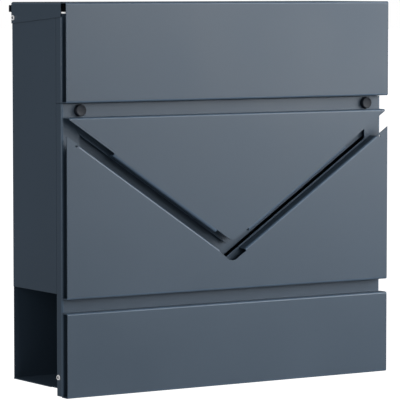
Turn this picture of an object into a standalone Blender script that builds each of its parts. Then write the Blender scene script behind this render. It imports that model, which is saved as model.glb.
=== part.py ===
"""Wall mounted sheet steel mailbox with an envelope front and a newspaper bay below.

Metres, +Z up, +X to the right of someone facing the box, -Y towards that person.
The wall is the plane y = 0, and the origin is the middle of the upper wall strip.
Heights are counted from the bottom edge of the front; one empty moves them all to the origin.
"""
import bpy
import bmesh
from math import atan, cos, hypot, pi, radians, sin, sqrt, tan
from mathutils import Matrix, Vector

MM = 0.001

# Driving dimensions
WIDTH = 370.0 * MM              # proud front panels, side to side
HEIGHT = 370.4 * MM             # bottom edge of the front to the top of the lid
PANEL_OVERHANG = 0.8 * MM       # front panels past each case side
BODY_DEPTH = 94.7 * MM          # back of the case to the face of the door plate
WALL_GAP = 12.0 * MM            # thickness of the rubber wall strips
REVEAL = 11.4 * MM              # proud panels stand this far in front of the door plate
SHEET = 1.0 * MM                # steel sheet
GAP = 0.3 * MM                  # between pieces that touch
BEND = 1.6 * MM                 # outside radius of the folds

# Lid
FLAP_HEIGHT = 93.6 * MM
LID_SHEET = 0.9 * MM
CHEEK_GAP = 0.4 * MM            # lid cheek to case side, and lid lip to case back
CHEEK_REAR_DROP = 20.6 * MM
CHEEK_FRONT_DROP = 13.6 * MM
CHEEK_FRONT_PROUD = 0.8 * MM    # cheek front edge ahead of the door plate
LID_CLEARANCE = 4.4 * MM        # case top edge below the lid's top face
LIP_HEIGHT = 12.4 * MM
LID_AXIS_DROP = 15.0 * MM
LID_AXIS_FROM_BACK = 6.4 * MM
BUMPER_WIDTH = 12.0 * MM
BUMPER_HEIGHT = 6.7 * MM
BUMPER_DEPTH = 2.4 * MM
BUMPER_DROP = 3.0 * MM
BUMPER_FROM_SIDE = 5.0 * MM     # middle of a bumper to the case side

# Front panels, counted from the bottom edge
LOWER_PANEL_TOP = 80.1 * MM
MIDDLE_PANEL_BOTTOM = 93.0 * MM
TOP_RECESS = 13.6 * MM          # triangle top below the flap
V_SLOPE = 0.67                  # rise of the envelope lines for each unit sideways
TRIANGLE_TIP_DROP = 3.25 * MM   # V lines reach the panels' sides this far below the triangle top
TRIANGLE_CUTBACK = 3.4 * MM     # the unfolded ends are cut back by this, upwards
V_GAP = 14.0 * MM               # triangle's folded edges above the pocket's
POCKET_CUTBACK = 2.8 * MM
TRIANGLE_FOLD_START = 18.5 * MM # from the middle
TRIANGLE_FOLD_STOP = 50.6 * MM  # from the case side
POCKET_FOLD_START = 15.5 * MM
POCKET_FOLD_STOP = 11.7 * MM
TRIANGLE_FOLD_DEPTH = 6.5 * MM
POINT_RADIUS = 9.0 * MM
RELIEF_HOLE = 2.4 * MM

# Window in the door plate, and the rain guard behind it
WINDOW_ABOVE_TRIANGLE = 0.5 * MM  # its upper line above the triangle's folded edges
WINDOW_ABOVE_POCKET = 1.6 * MM  # its lower line above the pocket's folded edges
WINDOW_FROM_SIDE = 19.5 * MM
GUARD_SETBACK = 4.5 * MM
GUARD_ABOVE_SILL = 1.6 * MM
GUARD_OVERLAP = 13.5 * MM       # guard above the window's upper line
GUARD_FROM_SIDE = 12.2 * MM

# Door
DOOR_BOTTOM = 0.5 * MM
DOOR_FLAP_GAP = 0.8 * MM        # door top below the flap's lower fold
RETURN_DEPTH = 10.0 * MM
RETURN_SEAM = 0.4 * MM
DOOR_AXIS_HEIGHT = 18.5 * MM
DOOR_AXIS_BEHIND_FACE = 6.0 * MM
BUFFER_FROM_SIDE = 19.2 * MM
BUFFER_DROP = 7.3 * MM          # buffer centre below the flap
BUFFER_DIAMETER = 11.6 * MM
BUFFER_PROUD = 4.2 * MM
BUFFER_STEM = 5.0 * MM

# Case
BAY_TOP = 97.0 * MM             # underside of the letter compartment
BOTTOM_PLATE = 7.4 * MM
BOTTOM_FRONT = 9.4 * MM         # bottom plate stops this far behind the door's face
EAR_HEIGHT = 24.0 * MM
HEADER_DROP = 10.4 * MM         # header's top edge below the lid's top face
TRIM_FORWARD = 6.0 * MM
TRIM_THICKNESS = 1.2 * MM
SCREW_HOLE = 6.5 * MM
SCREW_FROM_SIDE = 64.2 * MM
STRIP_FROM_SIDE = 34.2 * MM
STRIP_DROP = 40.4 * MM          # upper wall strip below the lid's top face
LOWER_STRIP_HEIGHT = 60.0 * MM
SCREW_BELOW_STRIP = 14.0 * MM
STRIP_WIDTH = 14.0 * MM

# Hinge rivets
RIVET_PIN = 3.2 * MM
RIVET_CLEARANCE = 0.3 * MM
RIVET_HEAD = 5.4 * MM
RIVET_HEAD_THICKNESS = 1.4 * MM
RIVET_INNER_HEAD = 5.4 * MM

# Lock
LOCK_ABOVE_FLAP_EDGE = 19.2 * MM
LOCK_BARREL = 18.0 * MM
LOCK_FLANGE = 22.0 * MM
LOCK_FLANGE_THICKNESS = 2.0 * MM
LOCK_DEPTH = 16.0 * MM
LOCK_NUT = 26.0 * MM
LOCK_NUT_THICKNESS = 3.0 * MM
LOCK_PLUG = 11.0 * MM
CAM_LENGTH = 30.0 * MM
CAM_WIDTH = 14.0 * MM
CAM_THICKNESS = 2.0 * MM
CAM_SCREW_HEAD = 8.0 * MM
STRIKER_WIDTH = 44.0 * MM
STRIKER_HEIGHT = 12.0 * MM
STRIKER_BEHIND_CAM = 1.5 * MM

# Places that follow from the sizes above
BACK_Y = -WALL_GAP
DOOR_Y = BACK_Y - BODY_DEPTH
PROUD_Y = DOOR_Y - REVEAL
BODY_WIDTH = WIDTH - 2 * PANEL_OVERHANG
FLAP_BOTTOM = HEIGHT - FLAP_HEIGHT
DOOR_TOP = FLAP_BOTTOM - DOOR_FLAP_GAP
HALF = BODY_WIDTH / 2
BUMPER_X = HALF - BUMPER_FROM_SIDE
BUFFER_X = HALF - BUFFER_FROM_SIDE
SCREW_X = HALF - SCREW_FROM_SIDE
TRIANGLE_TOP = FLAP_BOTTOM - TOP_RECESS
TRIANGLE_POINT = TRIANGLE_TOP - V_SLOPE * WIDTH / 2 - TRIANGLE_TIP_DROP  # where its folds would meet
POCKET_POINT = TRIANGLE_POINT - V_GAP
TRIANGLE_FOLD = (TRIANGLE_FOLD_START, HALF - TRIANGLE_FOLD_STOP)
POCKET_FOLD = (POCKET_FOLD_START, HALF - POCKET_FOLD_STOP)
WINDOW_TOP = TRIANGLE_POINT + WINDOW_ABOVE_TRIANGLE
WINDOW_BOTTOM = POCKET_POINT + WINDOW_ABOVE_POCKET
WINDOW_END = HALF - WINDOW_FROM_SIDE
GUARD_LOWER = WINDOW_BOTTOM + GUARD_ABOVE_SILL
GUARD_UPPER = WINDOW_TOP + GUARD_OVERLAP
GUARD_END = HALF - GUARD_FROM_SIDE
HEADER_TOP = HEIGHT - HEADER_DROP
STRIP_HEIGHT = HEIGHT - STRIP_DROP
STRIP_SIZE = (2 * (HALF - STRIP_FROM_SIDE), STRIP_WIDTH)
LOCK_HEIGHT = FLAP_BOTTOM + LOCK_ABOVE_FLAP_EDGE
CHEEK_IN = HALF + CHEEK_GAP
CHEEK_OUT = CHEEK_IN + LID_SHEET
CASE_TOP = HEIGHT - LID_CLEARANCE
CASE_FRONT = DOOR_Y + RETURN_DEPTH + RETURN_SEAM
V_ANGLE = atan(V_SLOPE)
LID_AXIS = (BACK_Y - LID_AXIS_FROM_BACK, HEIGHT - LID_AXIS_DROP)
DOOR_AXIS = (DOOR_Y + DOOR_AXIS_BEHIND_FACE, DOOR_AXIS_HEIGHT)
LOCK_BACK_Y = DOOR_Y + LOCK_DEPTH
CAM_Y = LOCK_BACK_Y + GAP
CUT = 5.0 * MM                  # how far a cutter runs past what it cuts


# ---------------------------------------------------------------- helpers

def clear_scene():
    for old in list(bpy.data.objects):
        bpy.data.objects.remove(old, do_unlink=True)


def new_collection(name):
    made = bpy.data.collections.new(name)
    bpy.context.scene.collection.children.link(made)
    return made


def paint(name, colour, roughness, metallic):
    material = bpy.data.materials.new(name)
    material.use_nodes = True
    shader = material.node_tree.nodes["Principled BSDF"]
    shader.inputs["Base Color"].default_value = (*colour, 1.0)
    shader.inputs["Roughness"].default_value = roughness
    shader.inputs["Metallic"].default_value = metallic
    return material


def link(mesh, name):
    piece = bpy.data.objects.new(name, mesh)
    parts.objects.link(piece)
    return piece


def block(name, x, y, z):
    """A box between the pairs x, y and z."""
    mesh = bpy.data.meshes.new(name)
    shape = bmesh.new()
    bmesh.ops.create_cube(shape, size=1.0)
    size = (x[1] - x[0], y[1] - y[0], z[1] - z[0])
    middle = ((x[0] + x[1]) / 2, (y[0] + y[1]) / 2, (z[0] + z[1]) / 2)
    bmesh.ops.scale(shape, vec=size, verts=shape.verts)
    bmesh.ops.translate(shape, vec=middle, verts=shape.verts)
    shape.to_mesh(mesh)
    shape.free()
    return link(mesh, name)


def rod(name, axis, centre, diameter, length, sides=32):
    """A cylinder whose axis is "X" or "Y", in the middle of its length at centre."""
    mesh = bpy.data.meshes.new(name)
    shape = bmesh.new()
    bmesh.ops.create_cone(shape, cap_ends=True, segments=sides,
                          radius1=diameter / 2, radius2=diameter / 2, depth=length)
    turn = Matrix.Rotation(pi / 2, 4, "Y" if axis == "X" else "X")
    bmesh.ops.transform(shape, matrix=Matrix.Translation(centre) @ turn, verts=shape.verts)
    shape.to_mesh(mesh)
    shape.free()
    piece = link(mesh, name)
    smooth(piece)
    return piece


def smooth(piece):
    piece.data.shade_smooth()
    piece.data.set_sharp_from_angle(angle=radians(35))


def outline_plate(name, points, low, high, plane="XZ"):
    """A flat outline made solid from low to high along the third axis."""
    curve = bpy.data.curves.new(name, "CURVE")
    curve.dimensions = "2D"
    curve.fill_mode = "BOTH"
    curve.extrude = (high - low) / 2
    spline = curve.splines.new("POLY")
    spline.points.add(len(points) - 1)
    for point, (across, up) in zip(spline.points, points):
        point.co = (across, up, 0.0, 1.0)
    spline.use_cyclic_u = True
    drawn = link(curve, name + "_outline")
    turn = Matrix.Rotation(pi / 2, 4, "X")
    if plane == "YZ":
        turn = Matrix.Rotation(pi / 2, 4, "Z") @ turn
        drawn.matrix_world = Matrix.Translation(((low + high) / 2, 0, 0)) @ turn
    else:
        drawn.matrix_world = Matrix.Translation((0, (low + high) / 2, 0)) @ turn
    return mesh_from_curve(drawn, name)


def mesh_from_curve(drawn, name):
    bpy.context.view_layer.update()
    graph = bpy.context.evaluated_depsgraph_get()
    mesh = bpy.data.meshes.new_from_object(drawn.evaluated_get(graph))
    shape = bmesh.new()
    shape.from_mesh(mesh)
    bmesh.ops.remove_doubles(shape, verts=shape.verts, dist=0.001 * MM)
    bmesh.ops.transform(shape, matrix=drawn.matrix_world, verts=shape.verts)
    bmesh.ops.recalc_face_normals(shape, faces=shape.faces)
    shape.to_mesh(mesh)
    shape.free()
    mesh.materials.clear()
    piece = link(mesh, name)
    bpy.data.objects.remove(drawn, do_unlink=True)
    return piece


def boolean(piece, other, operation):
    """Cut other out of piece or join it on, apply it, and remove other."""
    step = piece.modifiers.new(operation.lower(), "BOOLEAN")
    step.operation = operation
    step.solver = "EXACT"
    step.object = other
    bpy.context.view_layer.update()
    graph = bpy.context.evaluated_depsgraph_get()
    mesh = bpy.data.meshes.new_from_object(piece.evaluated_get(graph))
    piece.modifiers.clear()
    piece.data = mesh
    bpy.data.objects.remove(other, do_unlink=True)


def join(piece, others):
    for other in others:
        boolean(piece, other, "UNION")
    return piece


def cut(piece, others):
    for other in others:
        cutters.objects.link(other)
        parts.objects.unlink(other)
        other.hide_render = True
        other.display_type = "WIRE"
        boolean(piece, other, "DIFFERENCE")
    return piece


def rounded(points, radius, steps=3):
    """The corners of an open line of points turned into arcs."""
    line = [Vector(points[0])]
    for before, corner, after in zip(points, points[1:], points[2:]):
        corner = Vector(corner)
        towards = (Vector(before) - corner).normalized()
        away = (Vector(after) - corner).normalized()
        half = towards.angle(away) / 2
        centre = corner + (towards + away).normalized() * (radius / sin(half))
        start = corner + towards * (radius / tan(half)) - centre
        end = corner + away * (radius / tan(half)) - centre
        swing = start.angle_signed(end)
        for step in range(steps + 1):
            turn = Matrix.Rotation(-swing * step / steps, 2)
            line.append(centre + turn @ start)
    line.append(Vector(points[-1]))
    return line


def folded_sheet(name, profile, x, thickness, radius=BEND):
    """A sheet folded along profile, a line of (y, z) points on its outer face."""
    line = rounded(profile, radius)
    mesh = bpy.data.meshes.new(name)
    shape = bmesh.new()
    verts = [shape.verts.new((x[0], y, z)) for y, z in line]
    edges = [shape.edges.new(pair) for pair in zip(verts, verts[1:])]
    grown = bmesh.ops.extrude_edge_only(shape, edges=edges)["geom"]
    moved = [item for item in grown if isinstance(item, bmesh.types.BMVert)]
    bmesh.ops.translate(shape, vec=(x[1] - x[0], 0, 0), verts=moved)
    shape.to_mesh(mesh)
    shape.free()
    piece = link(mesh, name)
    wall = piece.modifiers.new("thickness", "SOLIDIFY")
    wall.thickness = thickness
    wall.offset = -1.0
    wall.use_even_offset = True
    return piece


def applied(piece):
    """The piece with its modifiers made part of its mesh."""
    bpy.context.view_layer.update()
    graph = bpy.context.evaluated_depsgraph_get()
    mesh = bpy.data.meshes.new_from_object(piece.evaluated_get(graph))
    piece.modifiers.clear()
    piece.data = mesh
    smooth(piece)
    return piece


def finish(piece, material, pivot=None):
    """Give the piece its material and put its origin at its joint's axis or its own middle."""
    piece.data.materials.clear()
    piece.data.materials.append(material)
    if pivot is None:
        corners = [Vector(corner) for corner in piece.bound_box]
        pivot = sum(corners, Vector()) / len(corners)
    else:
        pivot = Vector((0.0, pivot[0], pivot[1]))
    piece.data.transform(Matrix.Translation(-pivot))
    piece.location = pivot
    piece.parent = frame
    return piece


def v_line(point, x):
    """Height of an envelope line whose arms meet at height point."""
    return point + V_SLOPE * abs(x)


def round_point(point, radius, steps=6):
    """The rounded lower point of a V, from left to right, as (x, z) points."""
    centre = point + radius / cos(V_ANGLE)
    swings = [V_ANGLE * (2 * step / steps - 1) for step in range(steps + 1)]
    return [(radius * sin(swing), centre - radius * cos(swing)) for swing in swings]


# ---------------------------------------------------------------- case

def case_shell():
    back = block("case_shell", (-HALF, HALF), (BACK_Y - SHEET, BACK_Y), (BOTTOM_PLATE, CASE_TOP))
    sides = []
    for side in (-1, 1):
        x = sorted((side * HALF, side * (HALF - SHEET)))
        sides.append(block("side", x, (CASE_FRONT, BACK_Y - SHEET / 2), (BAY_TOP, CASE_TOP)))
    join(back, sides)
    holes = []
    for side in (-1, 1):
        for height in (STRIP_HEIGHT, LOWER_STRIP_HEIGHT):
            place = (side * SCREW_X, BACK_Y - SHEET / 2, height - SCREW_BELOW_STRIP)
            holes.append(rod("screw_hole", "Y", place, SCREW_HOLE, CUT))
        pin = (side * (HALF - SHEET / 2), *LID_AXIS)
        holes.append(rod("pin_hole", "X", pin, RIVET_PIN + 2 * RIVET_CLEARANCE, CUT))
    return finish(cut(back, holes), steel)


def compartment_floor():
    inside = HALF - SHEET - GAP
    back = BACK_Y - SHEET - GAP
    front = CASE_FRONT + SHEET
    lip = 9.0 * MM
    profile = [(front, BAY_TOP + lip), (front, BAY_TOP), (back, BAY_TOP), (back, BAY_TOP + lip)]
    floor = folded_sheet("compartment_floor", profile[::-1], (-inside, inside), SHEET)
    return finish(applied(floor), steel)


def bottom_plate():
    front = DOOR_Y + BOTTOM_FRONT
    below_axis = DOOR_AXIS_HEIGHT - BOTTOM_PLATE
    swing = hypot(RETURN_DEPTH - DOOR_AXIS_BEHIND_FACE, DOOR_AXIS_HEIGHT - DOOR_BOTTOM)
    notch = DOOR_AXIS[0] + sqrt(swing**2 - (below_axis - SHEET)**2) + 2 * GAP
    back = BACK_Y - SHEET - GAP
    inside = HALF - SHEET - 2 * GAP
    height = (BOTTOM_PLATE, BOTTOM_PLATE + SHEET)
    plate = block("bottom_plate", (-HALF, HALF), (notch, back), height)
    tongue = block("tongue", (-inside, inside), (front, notch + SHEET), height)
    ears = []
    for side in (-1, 1):
        x = sorted((side * inside, side * (inside - SHEET)))
        y, z = DOOR_AXIS
        reach = DOOR_AXIS_BEHIND_FACE - SHEET - GAP - RIVET_CLEARANCE
        behind = DOOR_Y + RETURN_DEPTH + SHEET
        outline = [(front, BOTTOM_PLATE), (y - reach, z - 1.5 * MM), (y - reach, EAR_HEIGHT),
                   (behind, EAR_HEIGHT), (behind, BOTTOM_PLATE)]
        ears.append(outline_plate("ear", outline, x[0], x[1], "YZ"))
    join(plate, [tongue, *ears])
    holes = []
    for side in (-1, 1):
        place = (side * (inside - SHEET / 2), *DOOR_AXIS)
        holes.append(rod("pin_hole", "X", place, RIVET_PIN + 2 * RIVET_CLEARANCE, CUT))
    return finish(cut(plate, holes), steel)


def front_header():
    z = (DOOR_TOP + GAP, HEADER_TOP)
    face = block("front_header", (-HALF, HALF), (DOOR_Y, DOOR_Y + SHEET), z)
    sides = []
    for side in (-1, 1):
        x = sorted((side * HALF, side * (HALF - SHEET)))
        sides.append(block("return", x, (DOOR_Y + SHEET / 2, DOOR_Y + RETURN_DEPTH), z))
    join(face, sides)
    hole = rod("lock_hole", "Y", (0, DOOR_Y, LOCK_HEIGHT), LOCK_BARREL + 2 * GAP, CUT)
    return finish(cut(face, [hole]), steel)


def slot_edge_trim():
    top = HEADER_TOP + GAP
    y = (DOOR_Y - TRIM_FORWARD, DOOR_Y + SHEET)
    half = HALF
    shelf = block("slot_edge_trim", (-half, half), y, (top, top + TRIM_THICKNESS))
    behind = DOOR_Y + SHEET + GAP
    skirt = block("skirt", (-half + 2 * SHEET, half - 2 * SHEET),
                  (behind, behind + TRIM_THICKNESS), (top - RETURN_DEPTH / 2, top + TRIM_THICKNESS))
    bridge = block("bridge", (-half, half), (DOOR_Y, behind + TRIM_THICKNESS),
                   (top, top + TRIM_THICKNESS))
    return finish(join(shelf, [bridge, skirt]), pale_plastic)


def wall_strips():
    for name, height in (("wall_strip_upper", STRIP_HEIGHT), ("wall_strip_lower", LOWER_STRIP_HEIGHT)):
        width, tall = STRIP_SIZE
        strip = block(name, (-width / 2, width / 2), (BACK_Y + GAP, 0.0),
                      (height - tall / 2, height + tall / 2))
        finish(strip, rubber)


def side_name(side):
    return "left" if side < 0 else "right"


def rivet(name, side, axis, outer, inner, material):
    """A pin along X through two sheets, with a domed head outside and a flat one inside."""
    y, z = axis
    middle = side * (outer + inner) / 2
    pin = rod(name, "X", (middle, y, z), RIVET_PIN, outer - inner + 2 * MM, sides=24)
    head_x = side * (outer + GAP + RIVET_HEAD_THICKNESS / 2)
    head = rod("head", "X", (head_x, y, z), RIVET_HEAD, RIVET_HEAD_THICKNESS, sides=24)
    tail_x = side * (inner - GAP - RIVET_HEAD_THICKNESS / 2)
    tail = rod("tail", "X", (tail_x, y, z), RIVET_INNER_HEAD, RIVET_HEAD_THICKNESS, sides=24)
    join(pin, [head, tail])
    smooth(pin)
    return finish(pin, material, axis)


def hinge_rivets():
    for side in (-1, 1):
        rivet("lid_hinge_rivet_" + side_name(side), side, LID_AXIS, CHEEK_OUT, HALF - SHEET, zinc)
        ear_in = HALF - 2 * SHEET - 2 * GAP
        rivet("door_hinge_rivet_" + side_name(side), side, DOOR_AXIS, HALF, ear_in, zinc)


# ---------------------------------------------------------------- lid

def lid_shell():
    lip_y = BACK_Y + CHEEK_GAP + LID_SHEET
    lip_low = HEIGHT - LIP_HEIGHT
    fold_back = DOOR_Y - CHEEK_GAP
    profile = [(lip_y, lip_low), (lip_y, HEIGHT), (PROUD_Y, HEIGHT), (PROUD_Y, FLAP_BOTTOM),
               (fold_back, FLAP_BOTTOM)]
    lid = applied(folded_sheet("lid_shell", profile[::-1], (-CHEEK_OUT, CHEEK_OUT), LID_SHEET))
    cheeks = []
    for side in (-1, 1):
        x = sorted((side * CHEEK_IN, side * CHEEK_OUT))
        front = DOOR_Y - CHEEK_FRONT_PROUD
        top = HEIGHT - LID_SHEET / 2
        outline = [(front, HEIGHT - CHEEK_FRONT_DROP), (lip_y, HEIGHT - CHEEK_REAR_DROP),
                   (lip_y, top - BEND), (lip_y - BEND, top), (front, top)]
        cheeks.append(outline_plate("cheek", outline, x[0], x[1], "YZ"))
    join(lid, cheeks)
    holes = []
    for side in (-1, 1):
        place = (side * (CHEEK_IN + LID_SHEET / 2), *LID_AXIS)
        holes.append(rod("pin_hole", "X", place, RIVET_PIN + 2 * RIVET_CLEARANCE, CUT / 2))
    cut(lid, holes)
    smooth(lid)
    return finish(lid, steel, LID_AXIS)


def lid_rear_bumpers():
    near = BACK_Y + CHEEK_GAP + LID_SHEET + GAP
    top = HEIGHT - BUMPER_DROP
    for side in (-1, 1):
        middle = side * BUMPER_X
        bumper = block("lid_rear_bumper_" + side_name(side),
                       (middle - BUMPER_WIDTH / 2, middle + BUMPER_WIDTH / 2),
                       (near, near + BUMPER_DEPTH), (top - BUMPER_HEIGHT, top))
        finish(bumper, rubber, LID_AXIS)


# ---------------------------------------------------------------- door

def door_plate():
    z = (DOOR_BOTTOM, DOOR_TOP)
    plate = block("door_plate", (-HALF, HALF), (DOOR_Y, DOOR_Y + SHEET), z)
    sides = []
    for side in (-1, 1):
        x = sorted((side * HALF, side * (HALF - SHEET)))
        sides.append(block("return", x, (DOOR_Y + SHEET / 2, DOOR_Y + RETURN_DEPTH), z))
    join(plate, sides)
    cutters_now = [window_cutter()]
    for side in (-1, 1):
        place = (side * (HALF - SHEET / 2), *DOOR_AXIS)
        cutters_now.append(rod("pin_hole", "X", place, RIVET_PIN + 2 * RIVET_CLEARANCE, CUT / 2))
        stem = (side * BUFFER_X, DOOR_Y, FLAP_BOTTOM - BUFFER_DROP)
        cutters_now.append(rod("stem_hole", "Y", stem, BUFFER_STEM + 2 * GAP, CUT))
    return finish(cut(plate, cutters_now), steel, DOOR_AXIS)


def window_cutter():
    end = WINDOW_END
    outline = [(-end, v_line(WINDOW_TOP, end)), (-end, v_line(WINDOW_BOTTOM, end)),
               (0, WINDOW_BOTTOM), (end, v_line(WINDOW_BOTTOM, end)),
               (end, v_line(WINDOW_TOP, end)), (0, WINDOW_TOP)]
    return outline_plate("window", outline, DOOR_Y - CUT, DOOR_Y + CUT)


def arm_fold(side, lower, upper, reach, depth):
    """The strip folded back from one arm of a V, between two V lines and two reaches sideways."""
    near, far = reach
    outline = [(side * near, v_line(lower, near)), (side * far, v_line(lower, far)),
               (side * far, v_line(upper, far)), (side * near, v_line(upper, near))]
    return outline_plate("fold", outline, PROUD_Y + SHEET / 2, PROUD_Y + depth)


def envelope_flap_panel():
    """The triangle: its middle edges are folded back and its ends are left flat."""
    near, far = TRIANGLE_FOLD
    flat = TRIANGLE_POINT + TRIANGLE_CUTBACK
    tip = (TRIANGLE_TOP - flat) / V_SLOPE
    left = [(-tip, TRIANGLE_TOP), (-far, v_line(flat, far)), (-far, v_line(TRIANGLE_POINT, far)),
            (-near, v_line(TRIANGLE_POINT, near)), (-near, v_line(flat, near))]
    right = [(-x, z) for x, z in reversed(left)]
    outline = left + round_point(flat, POINT_RADIUS) + right
    face = outline_plate("envelope_flap_panel", outline, PROUD_Y, PROUD_Y + SHEET)
    upper = TRIANGLE_POINT + SHEET / cos(V_ANGLE)
    folds = [arm_fold(side, TRIANGLE_POINT, upper, TRIANGLE_FOLD, TRIANGLE_FOLD_DEPTH)
             for side in (-1, 1)]
    top = (TRIANGLE_TOP - SHEET, TRIANGLE_TOP)
    half = tip - 2 * SHEET / V_SLOPE
    shelf = block("shelf", (-half, half), (PROUD_Y + SHEET / 2, DOOR_Y - GAP), top)
    return finish(join(face, [*folds, shelf]), steel, DOOR_AXIS)


def envelope_front_panel():
    """The pocket: a deep V along the top, its arms folded back as far as the door plate."""
    near, far = POCKET_FOLD
    half = WIDTH / 2
    flat = POCKET_POINT - POCKET_CUTBACK
    left = [(-half, MIDDLE_PANEL_BOTTOM), (-half, v_line(POCKET_POINT, half)),
            (-far, v_line(POCKET_POINT, far)), (-near, v_line(POCKET_POINT, near)),
            (-near, v_line(flat, near))]
    right = [(-x, z) for x, z in reversed(left)]
    outline = left + round_point(flat, POINT_RADIUS) + right
    face = outline_plate("envelope_front_panel", outline, PROUD_Y, PROUD_Y + SHEET)
    depth = REVEAL - GAP
    lower = POCKET_POINT - SHEET / cos(V_ANGLE)
    folds = [arm_fold(side, lower, POCKET_POINT, POCKET_FOLD, depth) for side in (-1, 1)]
    shelf = block("shelf", (-half, half), (PROUD_Y + SHEET / 2, DOOR_Y - GAP),
                  (MIDDLE_PANEL_BOTTOM, MIDDLE_PANEL_BOTTOM + SHEET))
    join(face, [*folds, shelf])
    holes = []
    for side in (-1, 1):
        x = side * (far + RELIEF_HOLE)
        place = (x, PROUD_Y, v_line(POCKET_POINT, x) - RELIEF_HOLE)
        holes.append(rod("relief", "Y", place, RELIEF_HOLE, CUT, sides=16))
    return finish(cut(face, holes), steel, DOOR_AXIS)


def lower_front_panel():
    inner = DOOR_Y - GAP
    profile = [(inner, LOWER_PANEL_TOP), (PROUD_Y, LOWER_PANEL_TOP), (PROUD_Y, 0.0), (inner, 0.0)]
    panel = folded_sheet("lower_front_panel", profile[::-1], (-WIDTH / 2, WIDTH / 2), SHEET)
    return finish(applied(panel), steel, DOOR_AXIS)


def rain_guard():
    """A V strip behind the window, standing off on a flange along its upper edge."""
    end = GUARD_END
    front = DOOR_Y + SHEET + GUARD_SETBACK
    outline = [(-end, v_line(GUARD_UPPER, end)), (-end, v_line(GUARD_LOWER, end)),
               (0, GUARD_LOWER), (end, v_line(GUARD_LOWER, end)),
               (end, v_line(GUARD_UPPER, end)), (0, GUARD_UPPER)]
    strip = outline_plate("rain_guard", outline, front, front + SHEET)
    edge = GUARD_UPPER - 2 * SHEET
    flange = [(-end, v_line(GUARD_UPPER, end)), (-end, v_line(edge, end)), (0, edge),
              (end, v_line(edge, end)), (end, v_line(GUARD_UPPER, end)), (0, GUARD_UPPER)]
    stand_off = outline_plate("stand_off", flange, DOOR_Y + SHEET + GAP, front + SHEET / 2)
    return finish(join(strip, [stand_off]), steel, DOOR_AXIS)


def lid_buffers():
    """Black rubber buttons on the door that the closed flap rests above."""
    for side in (-1, 1):
        x = side * BUFFER_X
        z = FLAP_BOTTOM - BUFFER_DROP
        head = (x, DOOR_Y - GAP - BUFFER_PROUD / 2, z)
        button = rod("lid_buffer_" + side_name(side), "Y", head, BUFFER_DIAMETER, BUFFER_PROUD)
        stem = rod("stem", "Y", (x, DOOR_Y + SHEET / 2, z), BUFFER_STEM, 3 * SHEET, sides=20)
        tail_y = DOOR_Y + SHEET + GAP + SHEET / 2
        tail = rod("tail", "Y", (x, tail_y, z), BUFFER_STEM + 2 * MM, SHEET, sides=20)
        join(button, [stem, tail])
        smooth(button)
        finish(button, rubber, DOOR_AXIS)


def door_striker():
    """An angle on the back of the door that the turned cam stands in front of."""
    half = STRIKER_WIDTH / 2
    hook_y = CAM_Y + CAM_THICKNESS + STRIKER_BEHIND_CAM
    top = DOOR_TOP - 2 * MM
    low = top - STRIKER_HEIGHT
    near = DOOR_Y + SHEET + GAP
    shelf = low - SHEET
    outline = [(near, low - STRIKER_HEIGHT), (near + SHEET, low - STRIKER_HEIGHT),
               (near + SHEET, shelf), (hook_y + SHEET, shelf), (hook_y + SHEET, top),
               (hook_y, top), (hook_y, low), (near, low)]
    return finish(outline_plate("door_striker", outline, -half, half, "YZ"), zinc, DOOR_AXIS)


# ---------------------------------------------------------------- lock

def lock_housing():
    z = LOCK_HEIGHT
    front = DOOR_Y - GAP
    flange_y = front - LOCK_FLANGE_THICKNESS / 2
    housing = rod("lock_housing", "Y", (0, flange_y, z), LOCK_FLANGE, LOCK_FLANGE_THICKNESS)
    length = LOCK_BACK_Y - front + LOCK_FLANGE_THICKNESS / 2
    barrel = rod("barrel", "Y", (0, LOCK_BACK_Y - length / 2, z), LOCK_BARREL, length)
    join(housing, [barrel])
    middle = (LOCK_BACK_Y + front) / 2
    cut(housing, [rod("bore", "Y", (0, middle, z), LOCK_PLUG + 2 * GAP, LOCK_DEPTH + 4 * CUT)])
    smooth(housing)
    return finish(housing, chrome)


def lock_nut():
    y = DOOR_Y + SHEET + GAP + LOCK_NUT_THICKNESS / 2
    nut = rod("lock_nut", "Y", (0, y, LOCK_HEIGHT), LOCK_NUT, LOCK_NUT_THICKNESS, sides=6)
    cut(nut, [rod("bore", "Y", (0, y, LOCK_HEIGHT), LOCK_BARREL + 2 * GAP, CUT + 2 * MM)])
    return finish(nut, zinc)


def lock_plug():
    axis = (0.0, LOCK_HEIGHT)
    front = DOOR_Y - GAP - LOCK_FLANGE_THICKNESS
    length = LOCK_BACK_Y - front
    plug = rod("lock_plug", "Y", (0, (front + LOCK_BACK_Y) / 2, LOCK_HEIGHT), LOCK_PLUG, length)
    slot = block("key_slot", (-3.5 * MM, 3.5 * MM), (front - CUT, front + 6 * MM),
                 (LOCK_HEIGHT - 1 * MM, LOCK_HEIGHT + 1 * MM))
    cut(plug, [slot])
    smooth(plug)
    return finish(plug, zinc, axis)


def lock_cam():
    """A flat lever that lies level at rest and points down when the lock is turned."""
    axis = (0.0, LOCK_HEIGHT)
    half = CAM_WIDTH / 2
    steps = 8
    swings = [pi / 2 + pi * step / steps for step in range(steps + 1)]
    round_end = [(half * cos(swing), LOCK_HEIGHT + half * sin(swing)) for swing in swings]
    blunt = [(CAM_LENGTH, LOCK_HEIGHT - half * 0.7), (CAM_LENGTH, LOCK_HEIGHT + half * 0.7)]
    lever = outline_plate("lock_cam", round_end + blunt, CAM_Y, CAM_Y + CAM_THICKNESS)
    return finish(lever, zinc, axis)


def lock_cam_screw():
    axis = (0.0, LOCK_HEIGHT)
    y = CAM_Y + CAM_THICKNESS + GAP
    thick = 1.6 * MM
    head = rod("lock_cam_screw", "Y", (0, y + thick / 2, LOCK_HEIGHT), CAM_SCREW_HEAD, thick, sides=24)
    slot = block("drive_slot", (-CUT, CUT), (y + thick / 2, y + CUT),
                 (LOCK_HEIGHT - 0.5 * MM, LOCK_HEIGHT + 0.5 * MM))
    cut(head, [slot])
    return finish(head, zinc, axis)


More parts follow.
